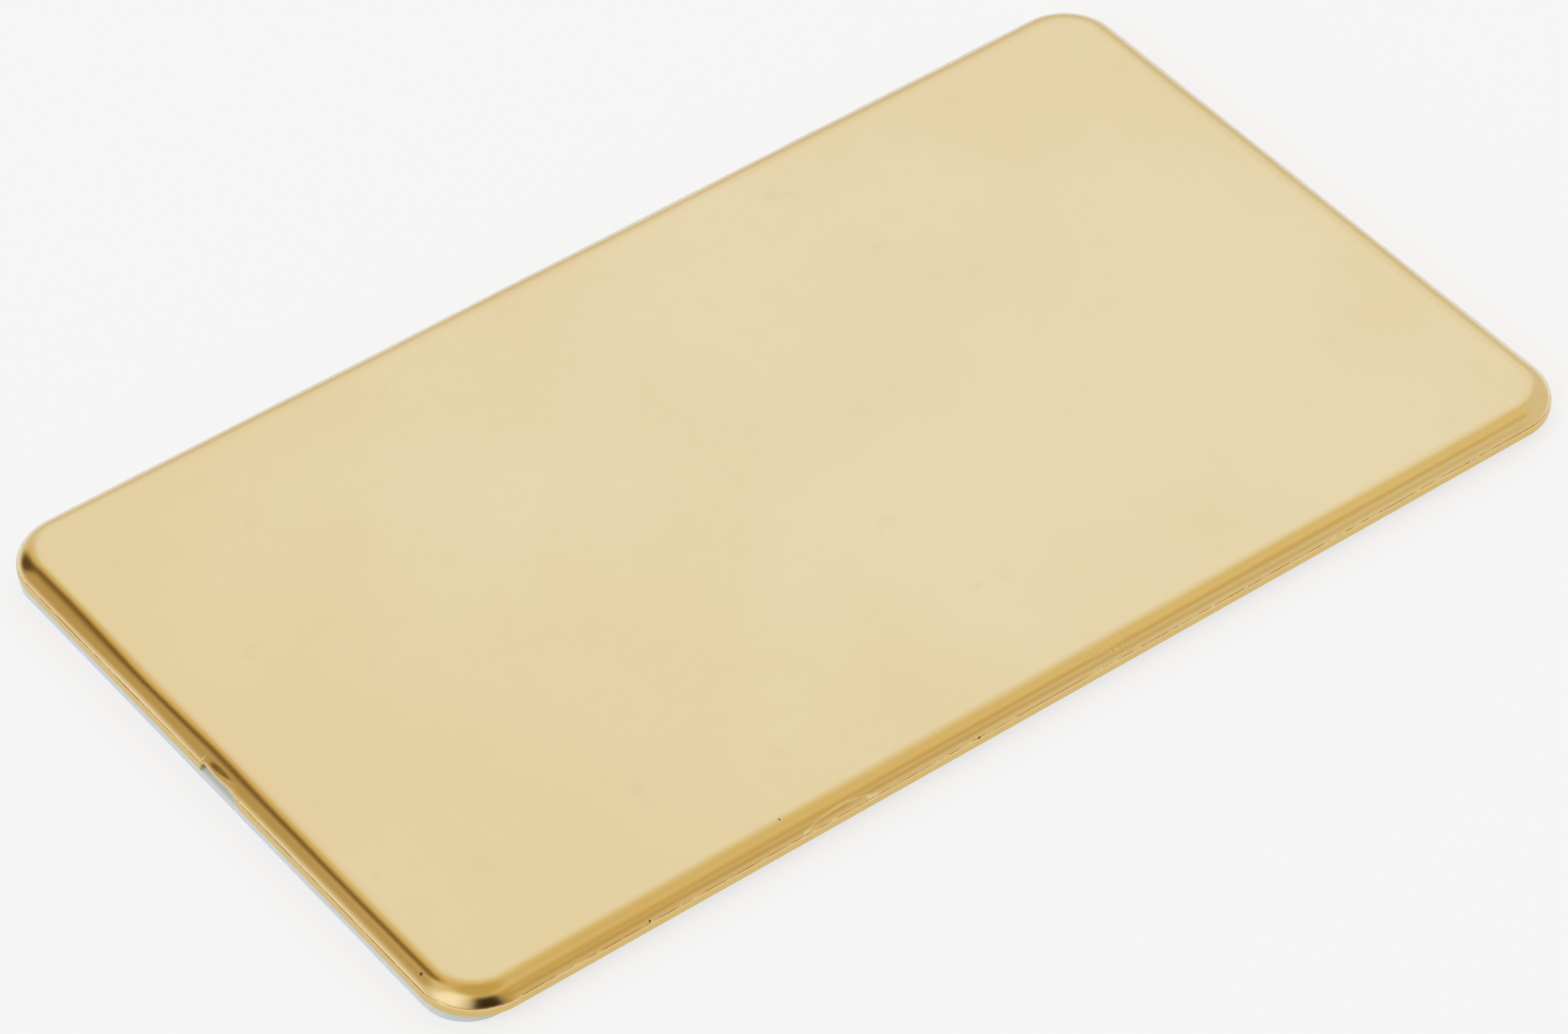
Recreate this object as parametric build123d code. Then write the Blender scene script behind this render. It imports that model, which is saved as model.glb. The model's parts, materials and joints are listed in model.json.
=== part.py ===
"""Screwless two-gang blanking plate: a pressed brass front that clips on to a clear base and a steel frame.

The wall is the plane z = 0 and +Z points away from it. X runs along the plate and Y across it, with the
origin at the middle of the plate. All sizes are in millimetres.
"""
from build123d import *
import os

# ---------------------------------------------------------------- driving dimensions
PLATE_LENGTH = 146.0
PLATE_WIDTH = 86.0
PLATE_CORNER = 6.8
PLATE_TOP = 3.6
SHEET = 0.8                 # thickness of the brass
SKIRT_FOOT = 1.2            # height of the skirt's lower edge above the wall
ROLL_IN = 3.0               # the rolled edge is a quarter ellipse, this far in
ROLL_DOWN = 2.0             # and this far down
FIXING_CENTRES = 120.6      # between the two fixing screws

NOTCH_NEAR = -3.8           # pry notch in the skirt of the -X side, from this Y
NOTCH_FAR = 3.1             # to this one
NOTCH_RISE = 1.25
NOTCH_NEAR_CURVE = 2.0      # the near end slopes down in a quarter ellipse this long
NOTCH_FAR_CURVE = 0.4       # corner radius at the far end

FILM_THICKNESS = 0.06
FILM_GAP = 0.02             # between the brass and the film
FILM_FOOT = 2.1             # height of the film's lower edge above the wall
FILM_NOTCH_PLAY = 0.2       # the film's own notch is this much larger

LIP_HEIGHT = 1.15           # clear lip under the skirt
LIP_SET_SHORT = 0.1         # how far the lip is set in from the short sides
LIP_SET_LONG = 1.1          # and from the long sides
LIP_CORNER = 5.4
LIP_ROUND = 0.25            # rounding of the lip's upper edge
WALL_SET = 1.1              # outer face of the base's upright wall, in from the plate's outline
WALL_THICKNESS = 1.4
WALL_TOP = 2.25
WALL_CHAMFER = 0.5
WEB_TOP = 1.2
WEB_UNDERSIDE = 0.6
RIM_WIDTH = 4.4             # flat rim that lies on the wall
RECESS_CORNER = 2.0
RIB_FOOT = 0.2
RIB_WIDTH = 1.0
RIB_X = (-48.0, -32.0, -16.0, 16.0, 32.0, 48.0)
RIB_Y = (-30.0, 0.0, 30.0)
SCREW_HOLE_PLAY = 1.4       # around the screw heads, in the base's web
SCREW_RING_WIDTH = 3.2      # ring rib around each of those holes
CLIP_POCKET_PLAY = 0.3
TAIL_POCKET_DEPTH = 0.4     # pocket in the web for the tails of a clip's rivets
TAIL_POCKET_HALF_X = 1.6
TAIL_POCKET_HALF_Y = 4.0
BLOCK_HOLE_PLAY = 0.5

FRAME_THICKNESS = 0.8
FRAME_GAP = 0.3             # between the frame's edge and the base's wall
BEAD_HEIGHT = 0.35
BEAD_LENGTH = 84.0
BEAD_WIDTH = 3.4
BEAD_Y = 27.0
BEAD_WALL = 0.5             # the groove under a bead is this much smaller all round
SLOT_LENGTH = 26.0
SLOT_WIDTH = 7.0
SLOT_X = 26.0
SLOT_Y = 12.0

CLIP_WIDTH = 8.0
CLIP_SHEET = 0.3
CLIP_REACH = 8.4            # inner end of the clip's foot, in from the plate's outline
CLIP_PLAY = 0.07            # between the clip's finger and the skirt
CLIP_KNEE_RISE = 0.1        # the finger bends this far above the start of the rolled edge
CLIP_TOE_RISE = 0.05        # and ends this far above the skirt's foot
CLIP_SLIT = 1.0
CLIP_LONG_X = (-48.0, 0.0, 48.0)
CLIP_SHORT_Y = (-23.0, 23.0)
CLIP_RIVET_SET = 6.0
CLIP_RIVET_SPACING = 4.4
RIVET_RADIUS = 0.6
RIVET_HEAD_RADIUS = 1.05
RIVET_HEAD = 0.35
RIVET_HEAD_ROUND = 0.25
RIVET_TAIL_RADIUS = 0.95
RIVET_TAIL = 0.3

PEG_RADIUS = 1.2
PEG_TOP = 2.6
PEG_X = 24.0
PEG_Y = 33.5
WASHER_RADIUS = 2.5

SCREW_RADIUS = 1.75         # M3.5
SCREW_LENGTH = 20.0
SCREW_HEAD_RADIUS = 3.3
SCREW_HEAD_RIM = 0.25
SCREW_NECK_RADIUS = 1.4
SCREW_PLAY = 0.08
SCREW_SUNK = 0.05           # head below the frame's face
SCREW_POINT = 0.5
SCREW_SLOT_WIDTH = 0.9
SCREW_SLOT_DEPTH = 0.9
SEAT_HOLE_PLAY = 0.1        # around the screw's thread
SEAT_LAND = 0.35            # straight part of the hole under the countersink
RETAINER_THICKNESS = 0.6
RETAINER_RADIUS = 3.4

BLOCK_SIDE = 7.0
BLOCK_FOOT = -8.0
BLOCK_CHAMFER = 0.6
BLOCK_RIVET_HEAD_RADIUS = 2.55
BLOCK_RIVET_HEAD = 0.45
WIRE_BORE_RADIUS = 1.75
WIRE_BORE_Z = -2.6
CLAMP_RADIUS = 1.45
CLAMP_PLAY = 0.05
CLAMP_TIP = -4.6
CLAMP_HEAD_TOP = -10.6
CLAMP_HEAD_RADIUS = 2.4
CLAMP_HEAD_HEIGHT = 1.6
CLAMP_HEAD_ROUND = 0.4
CLAMP_SLOT_WIDTH = 0.8
CLAMP_SLOT_DEPTH = 0.9

PAD_SIZE = 10.0
PAD_THICKNESS = 0.65
PAD_CORNER = 1.0
PAD_X = 45.0
PAD_Y = 14.0

# ---------------------------------------------------------------- derived values
ROLL_CENTRE_Z = PLATE_TOP - ROLL_DOWN
UNDERSIDE = PLATE_TOP - SHEET
FRAME_TOP = WEB_TOP + FRAME_THICKNESS
WALL_INNER = WALL_SET + WALL_THICKNESS
FRAME_SET = WALL_INNER + FRAME_GAP
BORE_PLAY = 0.05
TINY = 0.01


def slab(length, width, corner, low, high):
    """Flat plate with rounded corners between two heights."""
    outline = RectangleRounded(length, width, corner)
    return Pos(0, 0, low) * extrude(outline, high - low)


def inset_slab(inset, corner, low, high):
    """Slab whose outline is the plate's, moved in by inset."""
    return slab(PLATE_LENGTH - 2 * inset, PLATE_WIDTH - 2 * inset, corner, low, high)


def tube(radius, low, high, x=0.0, y=0.0):
    """Upright round bar between two heights."""
    return Pos(x, y, (low + high) / 2) * Cylinder(radius, high - low)


def block(x_range, y_range, z_range):
    """Box from its lowest and highest corners."""
    size = [high - low for low, high in (x_range, y_range, z_range)]
    middle = [(low + high) / 2 for low, high in (x_range, y_range, z_range)]
    return Pos(*middle) * Box(*size)


def rolled_section(grow, thickness, foot):
    """Section of a sheet that follows the rolled edge, in the XZ plane.

    X is the distance out from a corner's centre. The sheet's inner face is the brass's outer face moved
    out by grow, and foot is the height of its lower edge.
    """
    centre_x = PLATE_CORNER - ROLL_IN
    inner_x, inner_z = ROLL_IN + grow, ROLL_DOWN + grow
    outer_x, outer_z = inner_x + thickness, inner_z + thickness
    with BuildSketch(Plane.XZ) as section:
        with BuildLine():
            inner = EllipticalCenterArc((centre_x, ROLL_CENTRE_Z), inner_x, inner_z, arc_size=90)
            outer = EllipticalCenterArc((centre_x, ROLL_CENTRE_Z), outer_x, outer_z, arc_size=90)
            Line(inner @ 1, outer @ 1)
            Line(outer @ 0, (centre_x + outer_x, foot))
            Line((centre_x + outer_x, foot), (centre_x + inner_x, foot))
            Line((centre_x + inner_x, foot), inner @ 0)
        make_face()
    return section.sketch


def rolled_tray(grow, thickness, foot):
    """Sheet with a flat face and a rolled edge all round."""
    section = rolled_section(grow, thickness, foot)
    corner_x = PLATE_LENGTH / 2 - PLATE_CORNER
    corner_y = PLATE_WIDTH / 2 - PLATE_CORNER
    face = inset_slab(ROLL_IN, PLATE_CORNER - ROLL_IN, PLATE_TOP + grow, PLATE_TOP + grow + thickness)
    pieces = []
    for turn, (x, y) in enumerate([(1, 1), (-1, 1), (-1, -1), (1, -1)]):
        corner = revolve(section, Axis.Z, 90)
        pieces.append(Pos(x * corner_x, y * corner_y, 0) * Rot(0, 0, 90 * turn) * corner)
        half = corner_y if turn % 2 == 0 else corner_x
        reach = corner_x if turn % 2 == 0 else corner_y
        side = Pos(reach, half, 0) * extrude(section, 2 * half)
        pieces.append(Rot(0, 0, 90 * turn) * side)
    return face + pieces


def notch_tool(grow):
    """What the pry notch takes out of a skirt, larger by grow all round."""
    near, far = NOTCH_NEAR - grow, NOTCH_FAR + grow
    rise = NOTCH_RISE + grow
    top = SKIRT_FOOT + rise
    curve_foot = (near + NOTCH_NEAR_CURVE, SKIRT_FOOT)
    corner = (far - NOTCH_FAR_CURVE, top - NOTCH_FAR_CURVE)
    with BuildSketch(Plane.YZ) as outline:
        with BuildLine():
            far_arc = CenterArc(corner, NOTCH_FAR_CURVE, 0, 90)
            near_arc = EllipticalCenterArc(curve_foot, NOTCH_NEAR_CURVE, rise, start_angle=90, arc_size=90)
            Line(far_arc @ 1, near_arc @ 0)
            Polyline(near_arc @ 1, (near, 0), (far, 0), far_arc @ 0)
        make_face()
    return Pos(-PLATE_LENGTH / 2 - SHEET, 0, 0) * extrude(outline.sketch, 2 * WALL_SET)


def front_plate():
    """Pressed brass front with its pry notch."""
    return rolled_tray(-SHEET, SHEET, SKIRT_FOOT) - notch_tool(0)


def protective_film():
    """Clear film that the maker leaves on the brass, cut off above the skirt's foot."""
    tray = rolled_tray(FILM_GAP, FILM_THICKNESS, SKIRT_FOOT)
    below = block((-PLATE_LENGTH, PLATE_LENGTH), (-PLATE_WIDTH, PLATE_WIDTH), (0, FILM_FOOT))
    return tray - below - notch_tool(FILM_NOTCH_PLAY)


def clip_places():
    """Name, turn about Z and sideways place of every spring clip."""
    places = []
    for number, x in enumerate(CLIP_LONG_X, 1):
        places.append((f"spring_clip_front_{number}", -90, x, PLATE_WIDTH / 2))
        places.append((f"spring_clip_back_{number}", 90, -x, PLATE_WIDTH / 2))
    for number, y in enumerate(CLIP_SHORT_Y, 1):
        places.append((f"spring_clip_left_{number}", 180, -y, PLATE_LENGTH / 2))
        places.append((f"spring_clip_right_{number}", 0, y, PLATE_LENGTH / 2))
    return places


def at_clip(turn, sideways, reach, piece):
    """Moves a piece made for the +X side, with x = 0 on the plate's outline, to a clip's place."""
    return Rot(0, 0, turn) * Pos(reach, sideways, 0) * piece


def spring_clip():
    """Folded strip whose finger presses on the inside of the skirt."""
    finger = -SHEET - CLIP_PLAY
    knee_z = ROLL_CENTRE_Z + CLIP_KNEE_RISE
    toe_z = SKIRT_FOOT + CLIP_TOE_RISE
    crest_x = -2 * SHEET
    crest_z = FRAME_TOP + CLIP_SHEET
    with BuildSketch(Plane.XZ) as section:
        with BuildLine():
            Polyline(
                (-CLIP_REACH, FRAME_TOP),
                (crest_x - CLIP_SHEET / 3, FRAME_TOP),
                (finger - CLIP_SHEET, knee_z - CLIP_SHEET / 2.5),
                (finger - CLIP_SHEET, toe_z),
                (finger, toe_z),
                (finger, knee_z),
                (crest_x, crest_z),
                (-CLIP_REACH, crest_z),
                close=True)
        make_face()
    strip = Pos(0, CLIP_WIDTH / 2, 0) * extrude(section.sketch, CLIP_WIDTH)
    slit = block((-FRAME_SET + TINY, 0), (-CLIP_SLIT / 2, CLIP_SLIT / 2), (0, PLATE_TOP))
    for side in (-1, 1):
        y = side * CLIP_RIVET_SPACING / 2
        strip -= tube(RIVET_RADIUS + BORE_PLAY, 0, PLATE_TOP, -CLIP_RIVET_SET, y)
    return strip - slit


def rivet_places():
    """Middle of every clip rivet, in the plate's plan."""
    places = []
    for _, turn, sideways, reach in clip_places():
        for side in (-1, 1):
            along = sideways + side * CLIP_RIVET_SPACING / 2
            spot = (Rot(0, 0, turn) * Pos(reach - CLIP_RIVET_SET, along, 0)).position
            places.append((spot.X, spot.Y))
    return places


def clip_rivets():
    """Two rivets through every clip and the frame."""
    rivets = []
    head_foot = FRAME_TOP + CLIP_SHEET
    for x, y in rivet_places():
        shank = tube(RIVET_RADIUS, WEB_TOP, head_foot, x, y)
        head = tube(RIVET_HEAD_RADIUS, head_foot, head_foot + RIVET_HEAD, x, y)
        head = fillet(head.edges().group_by(Axis.Z)[-1], RIVET_HEAD_ROUND)
        tail = tube(RIVET_TAIL_RADIUS, WEB_TOP - RIVET_TAIL, WEB_TOP, x, y)
        rivets.append(shank + head + tail)
    return Compound(rivets)


def peg_places():
    """Middle of each of the base's four pegs."""
    return [(x, y) for x in (-PEG_X, PEG_X) for y in (-PEG_Y, PEG_Y)]


def clear_base():
    """Clear moulding that lies on the wall, with the lip that shows under the brass."""
    lip_length = PLATE_LENGTH - 2 * LIP_SET_SHORT
    lip_width = PLATE_WIDTH - 2 * LIP_SET_LONG
    lip = slab(lip_length, lip_width, LIP_CORNER, 0, LIP_HEIGHT)
    lip = fillet(lip.faces().sort_by(Axis.Z)[-1].edges(), LIP_ROUND)
    body = inset_slab(WALL_SET, PLATE_CORNER - WALL_SET, 0, WALL_TOP)
    body = chamfer(body.faces().sort_by(Axis.Z)[-1].edges(), WALL_CHAMFER)
    base = lip + body
    base -= inset_slab(WALL_INNER, PLATE_CORNER - WALL_INNER, WEB_TOP, PLATE_TOP)
    recess_inset = LIP_SET_SHORT + RIM_WIDTH
    base -= inset_slab(recess_inset, RECESS_CORNER, -1, WEB_UNDERSIDE)
    base += base_ribs(recess_inset)
    for x, y in peg_places():
        base += tube(PEG_RADIUS, WEB_UNDERSIDE, PEG_TOP, x, y)
    half = CLIP_WIDTH / 2 + CLIP_POCKET_PLAY
    gap = block((-WALL_INNER - TINY, 0), (-half, half), (WEB_TOP, PLATE_TOP))
    tails = block(
        (-CLIP_RIVET_SET - TAIL_POCKET_HALF_X, -CLIP_RIVET_SET + TAIL_POCKET_HALF_X),
        (-TAIL_POCKET_HALF_Y, TAIL_POCKET_HALF_Y),
        (WEB_TOP - TAIL_POCKET_DEPTH, PLATE_TOP))
    for _, turn, sideways, reach in clip_places():
        base -= at_clip(turn, sideways, reach, gap)
        base -= at_clip(turn, sideways, reach, tails)
    for x in (-FIXING_CENTRES / 2, FIXING_CENTRES / 2):
        base -= tube(SCREW_HEAD_RADIUS + SCREW_HOLE_PLAY, -1, PLATE_TOP, x, 0)
    half = BLOCK_SIDE / 2 + BLOCK_HOLE_PLAY
    base -= block((-half, half), (-half, half), (-1, PLATE_TOP))
    return base


def base_ribs(inset):
    """Ribs under the web, which stop short of the wall."""
    half_x = PLATE_LENGTH / 2 - inset
    half_y = PLATE_WIDTH / 2 - inset
    half = RIB_WIDTH / 2
    heights = (RIB_FOOT, WEB_UNDERSIDE)
    ribs = []
    for y in RIB_Y:
        ribs.append(block((-half_x, half_x), (y - half, y + half), heights))
    for x in RIB_X:
        ribs.append(block((x - half, x + half), (-half_y, half_y), heights))
    for x in (-FIXING_CENTRES / 2, FIXING_CENTRES / 2):
        ribs.append(tube(SCREW_HEAD_RADIUS + SCREW_RING_WIDTH, *heights, x, 0))
    return ribs


def screw_seat(x):
    """Solid and hollow of one countersunk seat in the frame."""
    rim_z = FRAME_TOP - SCREW_SUNK - SCREW_HEAD_RIM
    play = SCREW_PLAY * 2 ** 0.5
    hole_radius = SCREW_RADIUS + SEAT_HOLE_PLAY
    seat_radius = SCREW_HEAD_RADIUS + play
    seat_depth = seat_radius - hole_radius
    wall = FRAME_THICKNESS * 2 ** 0.5
    foot = rim_z - seat_depth - SEAT_LAND
    top_radius = seat_radius - (rim_z - WEB_TOP) + wall
    foot_radius = top_radius - (WEB_TOP - foot)
    solid = Pos(x, 0, (foot + WEB_TOP) / 2) * Cone(foot_radius, top_radius, WEB_TOP - foot)
    cone = Pos(x, 0, rim_z - seat_depth / 2) * Cone(hole_radius, seat_radius, seat_depth)
    hollow = cone + tube(seat_radius, rim_z, PLATE_TOP, x, 0) + tube(hole_radius, foot - 1, rim_z, x, 0)
    return solid, hollow, foot


def fixing_frame():
    """Pressed steel frame that carries the clips, the earth block and the fixing screws."""
    frame = inset_slab(FRAME_SET, PLATE_CORNER - FRAME_SET, WEB_TOP, FRAME_TOP)
    for y in (-BEAD_Y, BEAD_Y):
        bead = extrude(SlotOverall(BEAD_LENGTH, BEAD_WIDTH), BEAD_HEIGHT)
        groove = extrude(SlotOverall(BEAD_LENGTH - 2 * BEAD_WALL, BEAD_WIDTH - 2 * BEAD_WALL), BEAD_HEIGHT)
        frame += Pos(0, y, FRAME_TOP) * bead
        frame -= Pos(0, y, WEB_TOP) * groove
    for x in (-SLOT_X, SLOT_X):
        for y in (-SLOT_Y, SLOT_Y):
            frame -= Pos(x, y, WEB_TOP) * extrude(SlotOverall(SLOT_LENGTH, SLOT_WIDTH), FRAME_THICKNESS)
    for x, y in peg_places():
        frame -= tube(PEG_RADIUS + 2 * BORE_PLAY, 0, PLATE_TOP, x, y)
    for x, y in rivet_places():
        frame -= tube(RIVET_RADIUS + BORE_PLAY, 0, PLATE_TOP, x, y)
    frame -= tube(SCREW_RADIUS + BORE_PLAY, 0, PLATE_TOP)
    for x in (-FIXING_CENTRES / 2, FIXING_CENTRES / 2):
        solid, hollow, _ = screw_seat(x)
        frame += solid
        frame -= hollow
    return frame


def peg_washers():
    """Push-on washers that hold the frame to the base's pegs."""
    washers = []
    for x, y in peg_places():
        disc = tube(WASHER_RADIUS, FRAME_TOP, FRAME_TOP + CLIP_SHEET, x, y)
        washers.append(disc - tube(PEG_RADIUS + BORE_PLAY, 0, PLATE_TOP, x, y))
    return Compound(washers)


def fixing_screw(x):
    """Captive countersunk M3.5 screw with a waisted neck."""
    top = FRAME_TOP - SCREW_SUNK
    rim_z = top - SCREW_HEAD_RIM
    cone_depth = SCREW_HEAD_RADIUS - SCREW_NECK_RADIUS
    cone_foot = rim_z - cone_depth
    thread_top = screw_thread_top()
    tip = top - SCREW_LENGTH
    point = Cone(SCREW_RADIUS - SCREW_POINT, SCREW_RADIUS, SCREW_POINT)
    screw = tube(SCREW_HEAD_RADIUS, rim_z, top, x, 0)
    screw += Pos(x, 0, rim_z - cone_depth / 2) * Cone(SCREW_NECK_RADIUS, SCREW_HEAD_RADIUS, cone_depth)
    screw += tube(SCREW_NECK_RADIUS, thread_top, cone_foot, x, 0)
    screw += tube(SCREW_RADIUS, tip + SCREW_POINT, thread_top, x, 0)
    screw += Pos(x, 0, tip + SCREW_POINT / 2) * point
    across = (x - 2 * SCREW_HEAD_RADIUS, x + 2 * SCREW_HEAD_RADIUS)
    half = SCREW_SLOT_WIDTH / 2
    return screw - block(across, (-half, half), (top - SCREW_SLOT_DEPTH, top + 1))


def retainer_top():
    """Height of the nylon washer's upper face, against the foot of the seat."""
    return screw_seat(0)[2]


def screw_thread_top():
    """Height at which the thread starts, just under the nylon washer."""
    return retainer_top() - RETAINER_THICKNESS - SEAT_HOLE_PLAY


def screw_retainer(x):
    """Nylon washer on the screw's neck, which keeps the screw in the frame."""
    top = retainer_top()
    disc = tube(RETAINER_RADIUS, top - RETAINER_THICKNESS, top, x, 0)
    return disc - tube(SCREW_NECK_RADIUS + SCREW_PLAY, top - 2, top + 1, x, 0)


def earth_block():
    """Brass terminal block, riveted under the frame."""
    half = BLOCK_SIDE / 2
    body = block((-half, half), (-half, half), (BLOCK_FOOT, WEB_TOP))
    body = chamfer(body.edges().filter_by(Axis.Z), BLOCK_CHAMFER)
    body += tube(SCREW_RADIUS, WEB_TOP, FRAME_TOP)
    body += tube(BLOCK_RIVET_HEAD_RADIUS, FRAME_TOP, FRAME_TOP + BLOCK_RIVET_HEAD)
    bore = Pos(0, 0, WIRE_BORE_Z) * Rot(90, 0, 0) * Cylinder(WIRE_BORE_RADIUS, 2 * BLOCK_SIDE)
    thread = tube(CLAMP_RADIUS + CLAMP_PLAY, BLOCK_FOOT - 1, WIRE_BORE_Z)
    return body - bore - thread


def earth_screw():
    """Clamp screw of the earth block, backed off so that the wire's way is open."""
    foot = CLAMP_HEAD_TOP - CLAMP_HEAD_HEIGHT
    head = tube(CLAMP_HEAD_RADIUS, foot, CLAMP_HEAD_TOP)
    head = fillet(head.edges().group_by(Axis.Z)[0], CLAMP_HEAD_ROUND)
    shank = tube(CLAMP_RADIUS, CLAMP_HEAD_TOP, CLAMP_TIP)
    reach = 2 * CLAMP_HEAD_RADIUS
    half = CLAMP_SLOT_WIDTH / 2
    slot = block((-reach, reach), (-half, half), (foot - 1, foot + CLAMP_SLOT_DEPTH))
    return head + shank - slot


def foam_pad(x, y):
    """Foam pad that stops the brass face from rattling on the frame."""
    outline = RectangleRounded(PAD_SIZE, PAD_SIZE, PAD_CORNER)
    return Pos(x, y, FRAME_TOP) * extrude(outline, PAD_THICKNESS)


def all_nodes():
    """Every node's name and shape."""
    nodes = {
        "front_plate": front_plate(),
        "protective_film": protective_film(),
        "clear_base": clear_base(),
        "fixing_frame": fixing_frame(),
        "clip_rivets": clip_rivets(),
        "peg_washers": peg_washers(),
        "earth_block": earth_block(),
        "earth_screw": earth_screw(),
    }
    clip = spring_clip()
    for name, turn, sideways, reach in clip_places():
        nodes[name] = at_clip(turn, sideways, reach, clip)
    for side, x in (("left", -FIXING_CENTRES / 2), ("right", FIXING_CENTRES / 2)):
        nodes[f"fixing_screw_{side}"] = fixing_screw(x)
        nodes[f"screw_retainer_{side}"] = screw_retainer(x)
    corners = [(x, y) for x in (-PAD_X, PAD_X) for y in (-PAD_Y, PAD_Y)]
    for number, (x, y) in enumerate(corners, 1):
        nodes[f"foam_pad_{number}"] = foam_pad(x, y)
    return nodes


os.makedirs("parts", exist_ok=True)
for node_name, shape in all_nodes().items():
    export_step(shape, f"parts/{node_name}.step")
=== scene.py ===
"""Looks of a screwless two-gang blanking plate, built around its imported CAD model."""
import json
import math
import random

import bmesh
import bpy
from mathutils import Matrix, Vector, noise


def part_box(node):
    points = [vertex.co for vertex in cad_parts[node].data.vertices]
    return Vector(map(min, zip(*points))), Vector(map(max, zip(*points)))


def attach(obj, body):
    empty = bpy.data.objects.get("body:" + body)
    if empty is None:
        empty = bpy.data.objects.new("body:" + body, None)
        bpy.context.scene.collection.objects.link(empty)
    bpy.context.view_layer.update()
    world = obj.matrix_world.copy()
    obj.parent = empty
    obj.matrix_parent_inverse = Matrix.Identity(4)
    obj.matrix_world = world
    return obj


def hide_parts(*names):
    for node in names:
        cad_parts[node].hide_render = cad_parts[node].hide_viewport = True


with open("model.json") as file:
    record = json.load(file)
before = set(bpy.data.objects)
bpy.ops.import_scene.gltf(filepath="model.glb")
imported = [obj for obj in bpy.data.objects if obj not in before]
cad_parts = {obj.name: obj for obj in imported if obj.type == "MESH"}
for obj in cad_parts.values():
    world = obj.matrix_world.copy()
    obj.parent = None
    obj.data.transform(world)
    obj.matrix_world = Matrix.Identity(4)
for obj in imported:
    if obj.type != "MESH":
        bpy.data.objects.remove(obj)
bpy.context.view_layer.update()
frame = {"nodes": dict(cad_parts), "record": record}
MM = 0.001

# ---------------------------------------------------------------- sizes, from the frame
plate_low, plate_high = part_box("front_plate")
PLATE_LENGTH = plate_high[0] - plate_low[0]
PLATE_WIDTH = plate_high[1] - plate_low[1]
PLATE_TOP = plate_high[2]
SKIRT_FOOT = plate_low[2]
CORNER = 6.8 * MM
SHEET = 0.8 * MM
# The rolled edge is a quarter of an ellipse, this wide and this high.
ROLL_IN = 3.0 * MM
ROLL_DOWN = 2.0 * MM
ROLL_Z = PLATE_TOP - ROLL_DOWN
ROLL_ARC = ROLL_DOWN * math.pi / 2
EDGE_ROUND = 0.12 * MM
# The pry notch, in the skirt's left side. Its near end is a wide curve and its far end a tight one.
NOTCH_NEAR, NOTCH_FAR = -3.8 * MM, 3.1 * MM
NOTCH_RISE = 1.25 * MM
NOTCH_NEAR_CURVE = 2.0 * MM
NOTCH_FAR_CURVE = 0.4 * MM
# The film's two faces, measured from the brass, and its gap over the notch.
FILM_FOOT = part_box("protective_film")[0][2]
FILM_INNER = 0.015 * MM
FILM_OUTER = 0.060 * MM
FILM_NOTCH_GAP = 0.2 * MM
# The patch of film that has come away at its foot, in the front side.
PATCH_X = -26.2 * MM
PATCH_HALF = 4.9 * MM
PATCH_RISE = 0.85 * MM

# ---------------------------------------------------------------- camera, fitted to the photo's outline
CAMERA_AZIMUTH = math.radians(-35.82)
CAMERA_ELEVATION = math.radians(43.93)
CAMERA_ROLL = math.radians(-1.65)
# In metres: the distance from the origin, and small moves across the view.
CAMERA_DISTANCE = 0.718
CAMERA_RIGHT = -0.00077
CAMERA_UP = -0.00294
LENS_MM = 155.1
SENSOR_MM = 36.0
CLIP_NEAR, CLIP_FAR = 0.01, 20.0


def add_camera():
    a, e = CAMERA_AZIMUTH, CAMERA_ELEVATION
    back = Vector((math.sin(a) * math.cos(e), -math.cos(a) * math.cos(e), math.sin(e)))
    right = Vector((math.cos(a), math.sin(a), 0))
    up = back.cross(right)
    turned_right = math.cos(CAMERA_ROLL) * right + math.sin(CAMERA_ROLL) * up
    turned_up = back.cross(turned_right)
    place = back * CAMERA_DISTANCE + turned_right * CAMERA_RIGHT + turned_up * CAMERA_UP
    data = bpy.data.cameras.new("photo_camera")
    data.sensor_width = SENSOR_MM
    data.lens = LENS_MM
    data.clip_start = CLIP_NEAR
    data.clip_end = CLIP_FAR
    camera = bpy.data.objects.new("photo_camera", data)
    bpy.context.collection.objects.link(camera)
    # Blender takes a matrix given as tuples column by column.
    camera.matrix_world = ((*turned_right, 0), (*turned_up, 0), (*back, 0), (*place, 1))
    bpy.context.scene.camera = camera


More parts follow.
